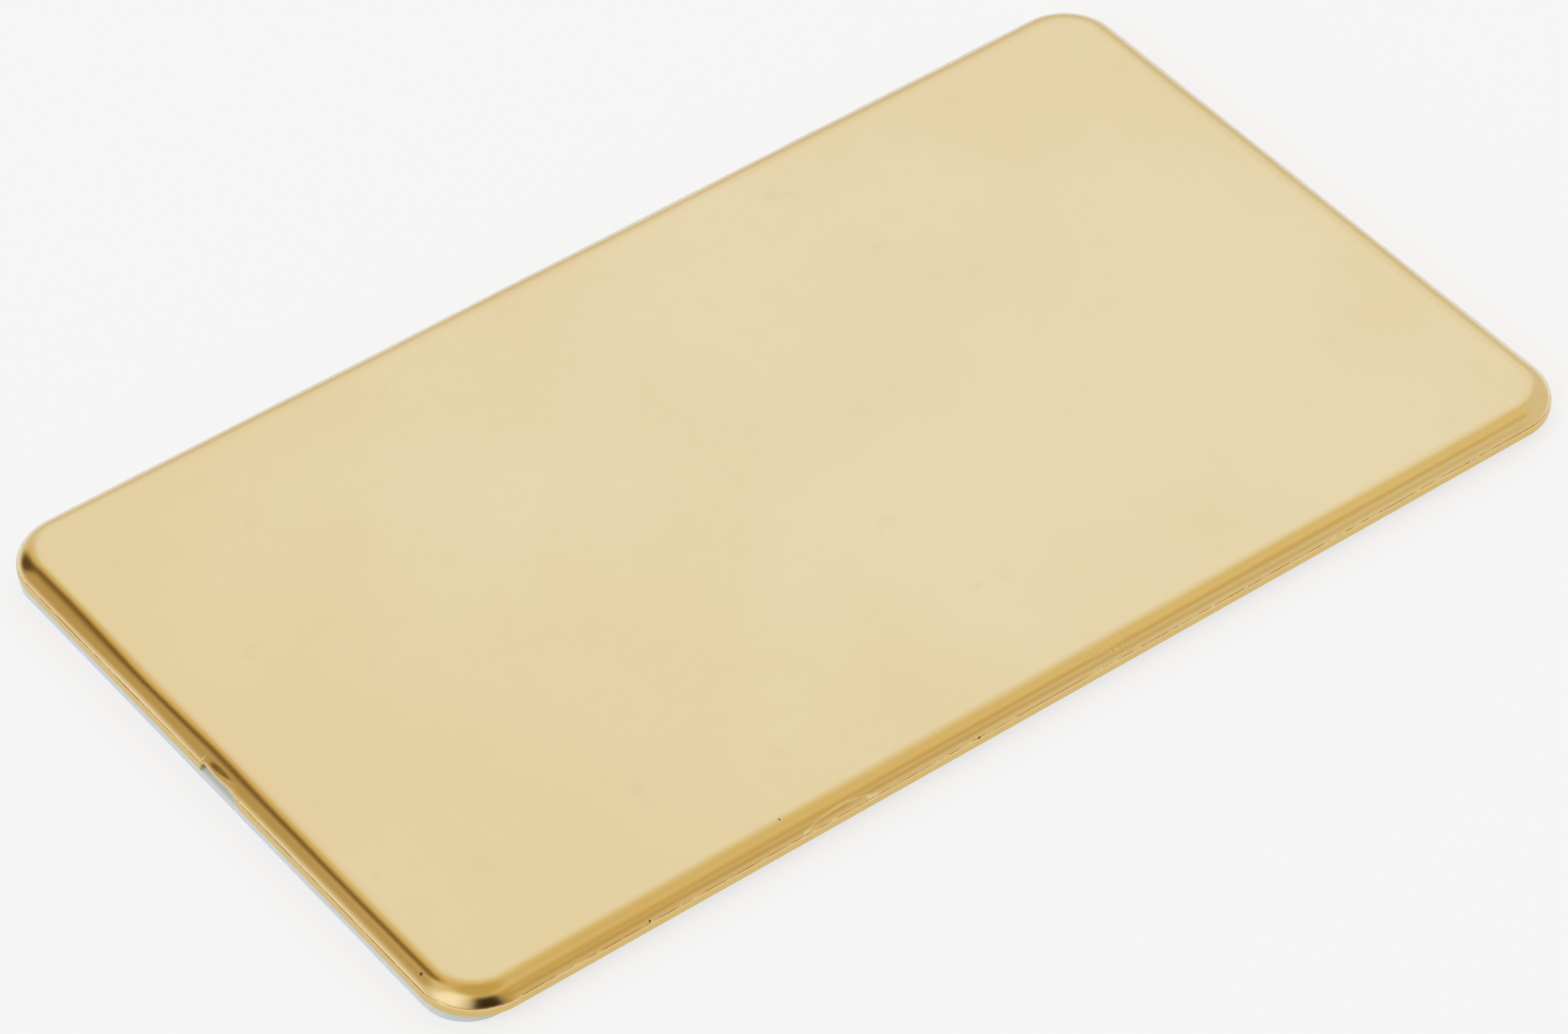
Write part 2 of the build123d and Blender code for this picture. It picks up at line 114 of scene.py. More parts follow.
# ---------------------------------------------------------------- node helpers
class Nodes:
    """Short calls for building a node tree."""

    def __init__(self, tree):
        self.tree = tree
        tree.nodes.clear()

    def add(self, kind, **values):
        """New node. A value with a property's name sets it, and any other feeds the input of that name."""
        node = self.tree.nodes.new(kind)
        for name, value in values.items():
            if hasattr(node, name):
                setattr(node, name, value)
        for name, value in values.items():
            if not hasattr(node, name):
                self.feed(node.inputs[name.replace("_", " ")], value)
        return node

    def feed(self, socket, value):
        """Links an input to another node's output, or sets its value. A colour's alpha may be left out."""
        if isinstance(value, bpy.types.NodeSocket):
            self.tree.links.new(value, socket)
            return
        if hasattr(socket.default_value, "__len__") and len(socket.default_value) == len(value) + 1:
            value = (*value, 1.0)
        socket.default_value = value

    def math(self, operation, a, b=0.0, c=0.0):
        node = self.tree.nodes.new("ShaderNodeMath")
        node.operation = operation
        for socket, value in zip(node.inputs, (a, b, c)):
            self.feed(socket, value)
        return node.outputs[0]

    def mix(self, factor, a, b):
        """Colour that goes from a to b as the factor goes from 0 to 1."""
        node = self.tree.nodes.new("ShaderNodeMix")
        node.data_type = "RGBA"
        self.feed(node.inputs[0], factor)
        self.feed(node.inputs[6], a)
        self.feed(node.inputs[7], b)
        return node.outputs[2]

    def ramp(self, factor, low, high, to_low=0.0, to_high=1.0):
        """Smooth step from to_low, where the factor is low, to to_high, where it is high."""
        node = self.tree.nodes.new("ShaderNodeMapRange")
        node.interpolation_type = "SMOOTHSTEP"
        for socket, value in zip(node.inputs, (factor, low, high, to_low, to_high)):
            self.feed(socket, value)
        return node.outputs[0]

    def fall(self, factor, low, high):
        """Smooth step from 1 down to 0."""
        return self.ramp(factor, low, high, 1.0, 0.0)

    def axis(self, vector, name):
        return self.add("ShaderNodeSeparateXYZ", Vector=vector).outputs[name]

    def noise(self, vector, scale, detail=3.0, roughness=0.5):
        node = self.add("ShaderNodeTexNoise", Vector=vector, Scale=scale, Detail=detail, Roughness=roughness)
        return node.outputs["Fac"]

    def stretched(self, vector, scale):
        node = self.tree.nodes.new("ShaderNodeMapping")
        self.feed(node.inputs["Vector"], vector)
        node.inputs["Scale"].default_value = scale
        return node.outputs[0]

    def bump(self, height, distance, strength):
        return self.add("ShaderNodeBump", Height=height, Distance=distance, Strength=strength).outputs[0]

    def surface(self, shader, output_kind):
        """Joins a shader to the tree's output."""
        output = self.tree.nodes.new(output_kind)
        self.tree.links.new(shader.outputs[0], output.inputs["Surface"])


def new_material(name):
    """Material with an empty tree, a Principled shader and the object's own coordinates."""
    material = bpy.data.materials.new(name)
    material.use_nodes = True
    nodes = Nodes(material.node_tree)
    shader = nodes.add("ShaderNodeBsdfPrincipled")
    nodes.surface(shader, "ShaderNodeOutputMaterial")
    place = nodes.add("ShaderNodeTexCoord").outputs["Object"]
    return material, nodes, shader, place


def set_inputs(nodes, shader, **values):
    for name, value in values.items():
        nodes.feed(shader.inputs[name.replace("_", " ")], value)


# ---------------------------------------------------------------- polished brass
BRASS_DEEP = (0.875, 0.656, 0.332)
BRASS_PALE = (0.905, 0.70, 0.38)
BRASS_STAIN = (0.80, 0.57, 0.28)
# Painted shade for the skirt's foot, below the film's edge.
BRASS_FOOT_SHADE = (0.72, 0.53, 0.20)
# Painted highlight along the film's crease.
CREASE_HIGHLIGHT_COLOUR = (1.0, 0.85, 0.56)
DIRT_COLOUR = (0.16, 0.10, 0.05)
STAIN_SHARE = 0.2
# Specks of dirt on the brass: place and radius, in mm.
SPECKS = (
    ((-72.1, -35.2, 3.1), 0.24),
    ((-32.0, -40.6, 3.6), 0.16),
    ((-8.3, -42.9, 2.1), 0.22),
    ((-49.8, -42.8, 2.3), 0.18),
)
# Painted highlight along the film's crease: it comes in and goes out at these shares of the patch's reach,
# and only on the front roll.
CREASE_HIGHLIGHT_IN = (1.0, 1.12)
CREASE_HIGHLIGHT_OUT = (1.18, 1.34)
CREASE_HIGHLIGHT_SIDE = (-41.5 * MM, -41.0 * MM)
# Painted shade at the skirt's foot: heights over which the darker, warmer brass below the film's edge fades
# out.
FOOT_SHADE_END = (FILM_FOOT - 0.3 * MM, FILM_FOOT + 0.1 * MM)


def patch_crease_highlight(nodes, place):
    """Share of the painted highlight: a thin broken arc along the top of the lifted patch of film."""
    squeeze = (1 / PATCH_HALF, 0, 1 / PATCH_RISE)
    shift = (-PATCH_X / PATCH_HALF, 0, -FILM_FOOT / PATCH_RISE)
    from_patch = nodes.add("ShaderNodeVectorMath", operation="MULTIPLY_ADD")
    for socket, value in zip(from_patch.inputs, (place, squeeze, shift)):
        nodes.feed(socket, value)
    distance = nodes.add("ShaderNodeVectorMath", operation="LENGTH")
    nodes.feed(distance.inputs[0], from_patch.outputs["Vector"])
    broken = nodes.noise(place, scale=900.0, detail=2.0)
    reach = nodes.math("MULTIPLY_ADD", broken, 0.5, distance.outputs["Value"])
    crease_highlight = nodes.math("MULTIPLY", nodes.ramp(reach, *CREASE_HIGHLIGHT_IN), nodes.fall(reach, *CREASE_HIGHLIGHT_OUT))
    front = nodes.fall(nodes.axis(place, "Y"), *CREASE_HIGHLIGHT_SIDE)
    return nodes.math("MULTIPLY", crease_highlight, front)


def brass_material():
    """Lacquered polished brass with faint rubbing marks and specks of dirt, a painted highlight along the
    film's crease, and painted shade at the skirt's foot below the film's edge.
    """
    material, nodes, shader, place = new_material("polished_brass")
    smudge = nodes.noise(place, scale=28.0, detail=4.0, roughness=0.55)
    grain = nodes.noise(nodes.stretched(place, (60.0, 900.0, 60.0)), scale=1.0, detail=2.0)
    colour = nodes.mix(nodes.ramp(smudge, 0.35, 0.7), BRASS_DEEP, BRASS_PALE)
    rough = nodes.math("MULTIPLY_ADD", nodes.ramp(smudge, 0.3, 0.75), 0.03, 0.165)
    ripple = nodes.noise(place, scale=90.0, detail=2.0, roughness=0.4)
    height = nodes.math("MULTIPLY_ADD", grain, 0.12, ripple)
    stains = nodes.ramp(nodes.noise(place, scale=210.0, detail=2.0), 0.66, 0.76)
    colour = nodes.mix(nodes.math("MULTIPLY", stains, STAIN_SHARE), colour, BRASS_STAIN)
    # Painted highlight: lighter brass along the crease at the top of the lifted film.
    colour = nodes.mix(patch_crease_highlight(nodes, place), colour, CREASE_HIGHLIGHT_COLOUR)
    for speck, radius in SPECKS:
        offset = nodes.add("ShaderNodeVectorMath", operation="DISTANCE")
        nodes.feed(offset.inputs[0], place)
        nodes.feed(offset.inputs[1], tuple(v * MM for v in speck))
        dirt = nodes.fall(offset.outputs["Value"], 0.5 * radius * MM, radius * MM)
        colour = nodes.mix(dirt, colour, DIRT_COLOUR)
    # Painted shade: the brass is darker and warmer at the skirt's foot, below the film's edge.
    foot_shade = nodes.fall(nodes.axis(place, "Z"), *FOOT_SHADE_END)
    colour = nodes.mix(foot_shade, colour, BRASS_FOOT_SHADE)
    set_inputs(nodes, shader, Base_Color=colour, Metallic=1.0, Roughness=rough,
               Normal=nodes.bump(height, distance=0.01 * MM, strength=0.1))
    return material


# ---------------------------------------------------------------- other materials
def film_material():
    """Clear peel-off film, with a painted shadow line along its cut edge, broken up by noise."""
    material, nodes, shader, place = new_material("clear_film")
    haze = nodes.noise(place, scale=160.0, roughness=0.6)
    rough = nodes.ramp(haze, 0.35, 0.8, 0.02, 0.09)
    colour = nodes.mix(haze, (0.985, 0.985, 0.98), (1.0, 1.0, 1.0))
    # Painted shadow: the film darkens along its cut edge, in broken stretches.
    rim = nodes.fall(nodes.axis(place, "Z"), FILM_FOOT + 0.06 * MM, FILM_FOOT + 0.16 * MM)
    edge_shadow_breaks = nodes.ramp(nodes.noise(place, scale=700.0, roughness=0.6), 0.30, 0.60)
    colour = nodes.mix(nodes.math("MULTIPLY", rim, edge_shadow_breaks), colour, (0.74, 0.57, 0.33))
    set_inputs(nodes, shader, Base_Color=colour, Roughness=rough, IOR=1.34, Transmission_Weight=1.0)
    return material


def clear_plastic_material():
    """Clear moulded polycarbonate, slightly clouded by its moulded surface, with a faint painted glow."""
    material, nodes, shader, place = new_material("clear_plastic")
    cloud = nodes.noise(place, scale=120.0)
    colour = nodes.mix(cloud, (0.80, 0.85, 0.87), (0.89, 0.93, 0.94))
    rough = nodes.ramp(cloud, 0.3, 0.8, 0.06, 0.18)
    texture = nodes.noise(place, scale=400.0, detail=2.0)
    # Painted glow: a faint emission stands in for light let through the clear plastic.
    set_inputs(nodes, shader, Base_Color=colour, Roughness=rough, IOR=1.585, Transmission_Weight=0.42,
               Emission_Color=(0.85, 0.93, 0.95), Emission_Strength=0.025,
               Normal=nodes.bump(texture, distance=0.02 * MM, strength=0.3))
    return material


def steel_material(name, dark, light, roughness, streak):
    """Plated or rolled steel: cloudy colour and fine lines along X. streak is how much the lines show."""
    material, nodes, shader, place = new_material(name)
    cloud = nodes.noise(place, scale=140.0, detail=5.0, roughness=0.6)
    lines = nodes.noise(nodes.stretched(place, (120.0, 2600.0, 2600.0)), scale=1.0)
    clouded = nodes.math("MULTIPLY", cloud, 1.0 - 0.5 * streak)
    mixed = nodes.math("MULTIPLY_ADD", lines, 0.5 * streak, clouded)
    colour = nodes.mix(nodes.ramp(mixed, 0.3, 0.7), dark, light)
    rough = nodes.math("MULTIPLY_ADD", mixed, 0.22, roughness)
    set_inputs(nodes, shader, Base_Color=colour, Metallic=1.0, Roughness=rough,
               Normal=nodes.bump(mixed, distance=0.02 * MM, strength=0.35))
    return material


def terminal_brass_material():
    """Turned and sawn brass of the earth block."""
    material, nodes, shader, place = new_material("terminal_brass")
    lines = nodes.noise(nodes.stretched(place, (300.0, 300.0, 5000.0)), scale=1.0)
    cloud = nodes.noise(place, scale=300.0, detail=4.0)
    colour = nodes.mix(nodes.ramp(cloud, 0.35, 0.7), (0.62, 0.44, 0.17), (0.80, 0.60, 0.28))
    rough = nodes.math("MULTIPLY_ADD", lines, 0.25, 0.22)
    set_inputs(nodes, shader, Base_Color=colour, Metallic=1.0, Roughness=rough,
               Normal=nodes.bump(lines, distance=0.03 * MM, strength=0.4))
    return material


def nylon_material():
    """Natural nylon, slightly translucent."""
    material, nodes, shader, place = new_material("nylon")
    cloud = nodes.noise(place, scale=500.0, detail=4.0)
    colour = nodes.mix(cloud, (0.80, 0.77, 0.68), (0.90, 0.88, 0.81))
    rough = nodes.math("MULTIPLY_ADD", cloud, 0.2, 0.4)
    set_inputs(nodes, shader, Base_Color=colour, Roughness=rough,
               Subsurface_Weight=0.25, Subsurface_Radius=(1.0 * MM, 1.0 * MM, 0.8 * MM),
               Normal=nodes.bump(cloud, distance=0.03 * MM, strength=0.5))
    return material


def foam_material():
    """Closed-cell black foam: a pattern of small cells."""
    material, nodes, shader, place = new_material("black_foam")
    cells = nodes.add("ShaderNodeTexVoronoi", Vector=place, Scale=3200.0).outputs["Distance"]
    colour = nodes.mix(nodes.ramp(cells, 0.1, 0.6), (0.012, 0.012, 0.013), (0.05, 0.05, 0.053))
    rough = nodes.math("MULTIPLY_ADD", cells, 0.2, 0.75)
    set_inputs(nodes, shader, Base_Color=colour, Roughness=rough,
               Normal=nodes.bump(cells, distance=0.12 * MM, strength=0.8))
    return material


# Dark and light colour, roughness and streak of each steel.
STEELS = {
    "zinc_plated_steel": ((0.52, 0.54, 0.56), (0.74, 0.75, 0.76), 0.2, 0.5),
    "spring_steel": ((0.33, 0.33, 0.34), (0.52, 0.52, 0.53), 0.16, 1.0),
    "rivet_steel": ((0.5, 0.5, 0.51), (0.7, 0.7, 0.7), 0.2, 0.3),
    "screw_steel": ((0.55, 0.55, 0.56), (0.76, 0.76, 0.76), 0.14, 0.3),
}
MATERIALS = {
    "polished_brass": brass_material(),
    "clear_film": film_material(),
    "clear_plastic": clear_plastic_material(),
    **{name: steel_material(name, *look) for name, look in STEELS.items()},
    "terminal_brass": terminal_brass_material(),
    "nylon": nylon_material(),
    "black_foam": foam_material(),
}


def dress_cad_nodes():
    """Gives every CAD node the material of its slot."""
    for part in frame["record"]["subparts"]:
        node = frame["nodes"][part["node"]]
        node.data.materials.clear()
        node.data.materials.append(MATERIALS[part["material_slot"]])


# ---------------------------------------------------------------- outline of the plate
RIGHT, BACK, LEFT, FRONT = range(4)
ROUGH_STEP = 0.6 * MM
FINE_STEP = 0.1 * MM
ARC_STEPS = 26
# Stretches with close columns: the notch on the left, and the lifted patch and the bubbles on the front.
FINE_STRETCHES = {
    LEFT: ((-3.9 * MM, 4.4 * MM),),
    FRONT: ((-32.0 * MM, -21.0 * MM), (-9.0 * MM, 16.0 * MM), (40.0 * MM, 46.0 * MM)),
}


class Column:
    """A place on the plate's outline. along is the distance along its straight side, towards +X or +Y."""

    def __init__(self, side, base, normal, along):
        self.side = side
        self.base = base
        self.normal = normal
        self.along = along


def side_places(half, stretches):
    """Distances along a straight side, close together inside the fine stretches."""
    places = {-half, half}
    steps = round(2 * half / ROUGH_STEP)
    places.update(-half + 2 * half * i / steps for i in range(steps))
    for low, high in stretches:
        steps = round((high - low) / FINE_STEP)
        places = {p for p in places if p < low - FINE_STEP or p > high + FINE_STEP}
        places.update(low + (high - low) * i / steps for i in range(steps + 1))
    return sorted(places)


def outline_columns():
    """Columns once round the plate, counter-clockwise from the +X side. Corner columns have no side."""
    columns = []
    for side in (RIGHT, BACK, LEFT, FRONT):
        out, run = PLATE_LENGTH / 2, PLATE_WIDTH / 2
        if side in (BACK, FRONT):
            out, run = run, out
        start = side * math.pi / 2
        normal = Vector((math.cos(start), math.sin(start), 0))
        tangent = Vector((-normal.y, normal.x, 0))
        sign = 1 if side in (RIGHT, FRONT) else -1
        for place in side_places(run - CORNER, FINE_STRETCHES.get(side, ())):
            columns.append(Column(side, normal * out + tangent * place, normal, sign * place))
        centre = normal * (out - CORNER) + tangent * (run - CORNER)
        for step in range(1, ARC_STEPS):
            angle = start + step / ARC_STEPS * math.pi / 2
            turned = Vector((math.cos(angle), math.sin(angle), 0))
            columns.append(Column(None, centre + turned * CORNER, turned, 0.0))
    return columns


# ---------------------------------------------------------------- section of the plate's edge
def roll_turn(w):
    """Angle round the roll: 0 up to its foot, and a quarter turn at the face."""
    return max(w - 1, 0) * math.pi / 2


def section(w):
    """Inset and height of the outer skin. w runs from 0 to 1 up the skirt, and from 1 to 2 over the roll."""
    turn = roll_turn(w)
    height = SKIRT_FOOT + min(w, 1) * (ROLL_Z - SKIRT_FOOT) + ROLL_DOWN * math.sin(turn)
    return ROLL_IN * (1 - math.cos(turn)), height


def section_place(height):
    """The w at which the skin has a given height."""
    if height <= ROLL_Z:
        return (height - SKIRT_FOOT) / (ROLL_Z - SKIRT_FOOT)
    return 1 + math.asin(min((height - ROLL_Z) / ROLL_DOWN, 1)) * 2 / math.pi


def skin_normal(column, w):
    turn = roll_turn(w)
    out, up = math.cos(turn) / ROLL_IN, math.sin(turn) / ROLL_DOWN
    return (column.normal * out + Vector((0, 0, up))).normalized()


def skin_point(column, w, push):
    """Point of the skin, pushed out by a distance along its normal."""
    inset, height = section(w)
    point = column.base - column.normal * inset + skin_normal(column, w) * push
    return Vector((point.x, point.y, point.z + height))


def bell(value, centre, half):
    """1 at the centre, smoothly down to 0 at a distance of half."""
    share = abs(value - centre) / half
    return 0.0 if share >= 1 else (1 - share * share) ** 2


def notch_height(column):
    """How far the pry notch lifts the foot of the skirt."""
    if column.side != LEFT or not NOTCH_NEAR < column.along <= NOTCH_FAR:
        return 0.0
    near = (NOTCH_NEAR + NOTCH_NEAR_CURVE - column.along) / NOTCH_NEAR_CURVE
    if near > 0:
        return NOTCH_RISE * math.sqrt(max(1 - near * near, 0))
    far = max(column.along - (NOTCH_FAR - NOTCH_FAR_CURVE), 0) / NOTCH_FAR_CURVE
    return NOTCH_RISE - NOTCH_FAR_CURVE * (1 - math.sqrt(max(1 - far * far, 0)))


# ---------------------------------------------------------------- unevenness of the brass and the film
# Levels and half levels below are values of w, which section() explains.
# Bulge over the notch: its height, its level, and its top and two ends along the side.
BULGE = 0.20 * MM
BULGE_LEVEL, BULGE_HALF = 1.30, 0.24
BULGE_TOP = 0.3 * MM
BULGE_FAR = 2.9 * MM
BULGE_NEAR = -3.4 * MM
# Slow and quick waves of the roll: height, how fast the noise runs a metre, and where in it they start.
SLOW_WAVE = (0.055 * MM, 60, (9, 4, 0))
QUICK_WAVE = (0.012 * MM, 170, (31, 2, 0))
WAVE_LEVEL, WAVE_HALF = 1.52, 0.36
# Comb-like wrinkles on the front side. They climb by COMB_FALL over COMB_RUN towards -X.
COMB_HEIGHT = 0.012 * MM
COMB_PITCH = 0.52 * MM
COMB_PLACE, COMB_REACH = 8.5 * MM, 5 * MM
COMB_DRIFT, COMB_DRIFT_RATE = 0.9 * MM, 400
COMB_START, COMB_RUN, COMB_FALL = 5 * MM, 8 * MM, 0.22
COMB_LEVEL, COMB_HALF = 1.70, 0.17
# Lifted patch of film: how far it stands off, the levels of its foot and of its top at the two ends, and
# how much higher its top is in the middle.
PATCH_LIFT = 0.09 * MM
PATCH_FOOT_LEVEL = 1.1
PATCH_END_LEVEL = 1.16
PATCH_CROWN = 0.27
# Groups of bubbles: how many, ends along the front side in mm, mean and spread of the level, and
# the smallest and largest radius in mm.
BUBBLE_GROUPS = (
    (26, (-9, 16), (1.2, 0.035), (0.12, 0.34)),
    (6, (40.5, 45.5), (1.22, 0.04), (0.12, 0.3)),
)
BUBBLE_SEED = 11
# A bubble's height as a share of its radius.
BUBBLE_HEIGHT = 0.16
# At its foot the film keeps this share of its freedom to lift, and it gains the rest above FREE_FROM.
FREE_AT_FOOT = 0.2
FREE_FROM, FREE_GAIN = 1.15, 8


def notch_bulge(column, w):
    """The sheet above the notch is pushed out where the notch was pierced."""
    if column.side != LEFT:
        return 0.0
    reach = BULGE_FAR - BULGE_TOP if column.along > BULGE_TOP else BULGE_TOP - BULGE_NEAR
    return BULGE * bell(column.along, BULGE_TOP, reach) * bell(w, BULGE_LEVEL, BULGE_HALF)


def roll_waves(column, w):
    """The slow waviness of a pressed edge."""
    total = 0.0
    for height, rate, start in (SLOW_WAVE, QUICK_WAVE):
        total += height * noise.noise(column.base * rate + Vector(start))
    return total * bell(w, WAVE_LEVEL, WAVE_HALF)


def comb_wrinkles(column, w):
    """Short fine wrinkles across the roll, on the front side."""
    if column.side != FRONT:
        return 0.0
    place = column.along + COMB_DRIFT * noise.noise((column.along * COMB_DRIFT_RATE, 0, 3))
    wave = math.sin(place / COMB_PITCH * 2 * math.pi)
    level = COMB_LEVEL - (column.along - COMB_START) / COMB_RUN * COMB_FALL
    return COMB_HEIGHT * wave * bell(column.along, COMB_PLACE, COMB_REACH) * bell(w, level, COMB_HALF)


def front_push(column, w):
    """How far the brass stands off the smooth shape."""
    return notch_bulge(column, w) + roll_waves(column, w) + comb_wrinkles(column, w)


def lifted_patch(column, w):
    """A lens-shaped patch of film that has come away at its foot, on the front side."""
    share = (column.along - PATCH_X) / PATCH_HALF
    if column.side != FRONT or abs(share) >= 1:
        return 0.0
    fullness = 1 - share * share
    top = PATCH_END_LEVEL + PATCH_CROWN * fullness
    down = max(1 - (w - PATCH_FOOT_LEVEL) / (top - PATCH_FOOT_LEVEL), 0)
    return PATCH_LIFT * math.sqrt(down) * fullness


def bubble_places():
    """Place along the side, level and radius of every bubble."""
    draw = random.Random(BUBBLE_SEED)
    places = []
    for count, along, level, radius in BUBBLE_GROUPS:
        for _ in range(count):
            places.append((draw.uniform(*along) * MM, draw.gauss(*level), draw.uniform(*radius) * MM))
    return places


BUBBLES = bubble_places()


def bubbles(column, w):
    """Small bubbles under the film, just above its foot on the front side."""
    if column.side != FRONT:
        return 0.0
    tallest = 0.0
    for place, level, radius in BUBBLES:
        if abs(column.along - place) < radius:
            distance = math.hypot(column.along - place, (w - level) * ROLL_ARC)
            tallest = max(tallest, BUBBLE_HEIGHT * radius * bell(distance, 0, radius))
    return tallest


def film_push(column, w):
    """How far the film stands off the smooth shape. At its foot it stays within the skirt's outline."""
    free = min(max(FREE_AT_FOOT + (w - FREE_FROM) * FREE_GAIN, FREE_AT_FOOT), 1)
    return front_push(column, w) + free * (lifted_patch(column, w) + bubbles(column, w))


# ---------------------------------------------------------------- meshes from rings
ROUND_STEPS = 4
# Angles between faces, in degrees, above which an edge is shaded as sharp.
PLATE_SHARP = 50
SCREW_SHARP = 35


def quarter_turn():
    """Angles from 0 to a quarter turn, for a rounded edge."""
    return [math.pi / 2 * step / ROUND_STEPS for step in range(ROUND_STEPS + 1)]


def rings_to_mesh(name, rings, sharp_degrees):
    """Closed piece from rings of equal length, with flat caps on the first and the last."""
    count = len(rings[0])
    vertices = [point for ring in rings for point in ring]
    faces = [tuple(reversed(range(count))), tuple(range(len(vertices) - count, len(vertices)))]
    for row in range(len(rings) - 1):
        for i in range(count):
            j = (i + 1) % count
            a, b = row * count, (row + 1) * count
            faces.append((a + i, a + j, b + j, b + i))
    mesh = bpy.data.meshes.new(name)
    mesh.from_pydata(vertices, [], faces)
    mesh.update()
    for polygon in mesh.polygons:
        polygon.use_smooth = True
    mesh.set_sharp_from_angle(angle=math.radians(sharp_degrees))
    piece = bpy.data.objects.new(name, mesh)
    bpy.context.collection.objects.link(piece)
    return piece


def place_piece(piece, body, slot, *nodes):
    """Gives a piece its material and its body, and hides the CAD nodes it stands for."""
    piece.data.materials.clear()
    piece.data.materials.append(MATERIALS[slot])
    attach(piece, body)
    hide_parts(*nodes)


# ---------------------------------------------------------------- pressed front and its film
INNER_ROWS, OUTER_ROWS = 15, 50
INNER_FILM_ROWS, OUTER_FILM_ROWS = 32, 42
# From this w up every row keeps one height all round, and LOWER_SHARE of the rows is below it.
LINED_UP_FROM = 1.5
LOWER_SHARE = 0.6
# How far the film's cut edge wanders, and how often.
FOOT_WANDER, WANDER_RATE = 0.05 * MM, 160


def climb(foot, share):
    """The w of a row that lies at a share of the way from the foot to the face."""
    if share < LOWER_SHARE:
        return foot + (LINED_UP_FROM - foot) * share / LOWER_SHARE
    return LINED_UP_FROM + (2 - LINED_UP_FROM) * (share - LOWER_SHARE) / (1 - LOWER_SHARE)


def skin_rings(columns, feet, rows, push, out):
    """Rings of the brass's or the film's surface, from the foot up, at a distance out from its push."""
    rings = []
    for row in range(rows + 1):
        ring = []
        for column, foot in zip(columns, feet):
            w = climb(foot, row / rows)
            ring.append(skin_point(column, w, push(column, w) + out))
        rings.append(ring)
    return rings


def foot_rounding():
    """Distances out and down of the rings that round the skirt's foot, from the inner to the outer skin."""
    angles = quarter_turn()
    inner = [(EDGE_ROUND * math.sin(a) - SHEET, EDGE_ROUND * (1 - math.cos(a))) for a in angles[1:]]
    outer = [(EDGE_ROUND * (math.sin(a) - 1), EDGE_ROUND * math.cos(a)) for a in angles[:-1]]
    return inner + outer


def lowered(foot, drop):
    """The w of a foot after a drop in metres."""
    return foot - drop / (ROLL_ARC if foot > 1 else ROLL_Z - SKIRT_FOOT)


def build_front():
    """The pressed brass front: rolled edge, skirt with its rounded foot, pry notch, and hollow underside."""
    columns = outline_columns()
    feet = [section_place(SKIRT_FOOT + notch_height(c)) for c in columns]
    rings = skin_rings(columns, feet, INNER_ROWS, front_push, -SHEET)[::-1]
    for out, drop in foot_rounding():
        rings.append([skin_point(c, lowered(f, drop), front_push(c, f) + out)
                      for c, f in zip(columns, feet)])
    rings += skin_rings(columns, feet, OUTER_ROWS, front_push, 0)
    piece = rings_to_mesh("brass_front", rings, PLATE_SHARP)
    place_piece(piece, "cover", "polished_brass", "front_plate")


def film_foot(column):
    """Level of the film's cut edge, which wanders a little and clears the notch."""
    wander = FOOT_WANDER * noise.noise(column.base * WANDER_RATE)
    rise = notch_height(column)
    over_notch = SKIRT_FOOT + rise + FILM_NOTCH_GAP if rise else 0.0
    return section_place(max(FILM_FOOT + wander, over_notch))


def build_film():
    """The thin clear film over the brass, with its lifted patch, wrinkles and bubbles."""
    columns = outline_columns()
    feet = [film_foot(c) for c in columns]
    rings = skin_rings(columns, feet, INNER_FILM_ROWS, film_push, FILM_INNER)[::-1]
    rings += skin_rings(columns, feet, OUTER_FILM_ROWS, film_push, FILM_OUTER)
    piece = rings_to_mesh("clear_cover_film", rings, PLATE_SHARP)
    place_piece(piece, "cover", "clear_film", "protective_film")


# ---------------------------------------------------------------- finished copies of the CAD pieces
BODIES = frame["record"]["behaviour"]["bodies"]
SLOTS = {part["node"]: part["material_slot"] for part in frame["record"]["subparts"]}
# Size of the rounded edges, by the start of the node's name.
FINE_EDGES = {
    "clear_base": 0.10 * MM,
    "fixing_frame": 0.07 * MM,
    "spring_clip": 0.05 * MM,
    "clip_rivets": 0.05 * MM,
    "peg_washers": 0.04 * MM,
    "earth_block": 0.12 * MM,
    "screw_retainer": 0.10 * MM,
}
# Angles between faces above which an edge is rounded, and above which it is shaded as sharp.
ROUNDED_ABOVE = math.radians(38)
SHARP_ABOVE = math.radians(50)
# Vertices this close are merged, and faces this near to one plane become one face.
SAME_POINT = 0.002 * MM
SAME_PLANE = math.radians(0.5)
BEVEL_SEGMENTS = 2
FLAT_FACE_WEIGHT = 100


def body_of(node):
    return next(body for body, nodes in BODIES.items() if node in nodes)


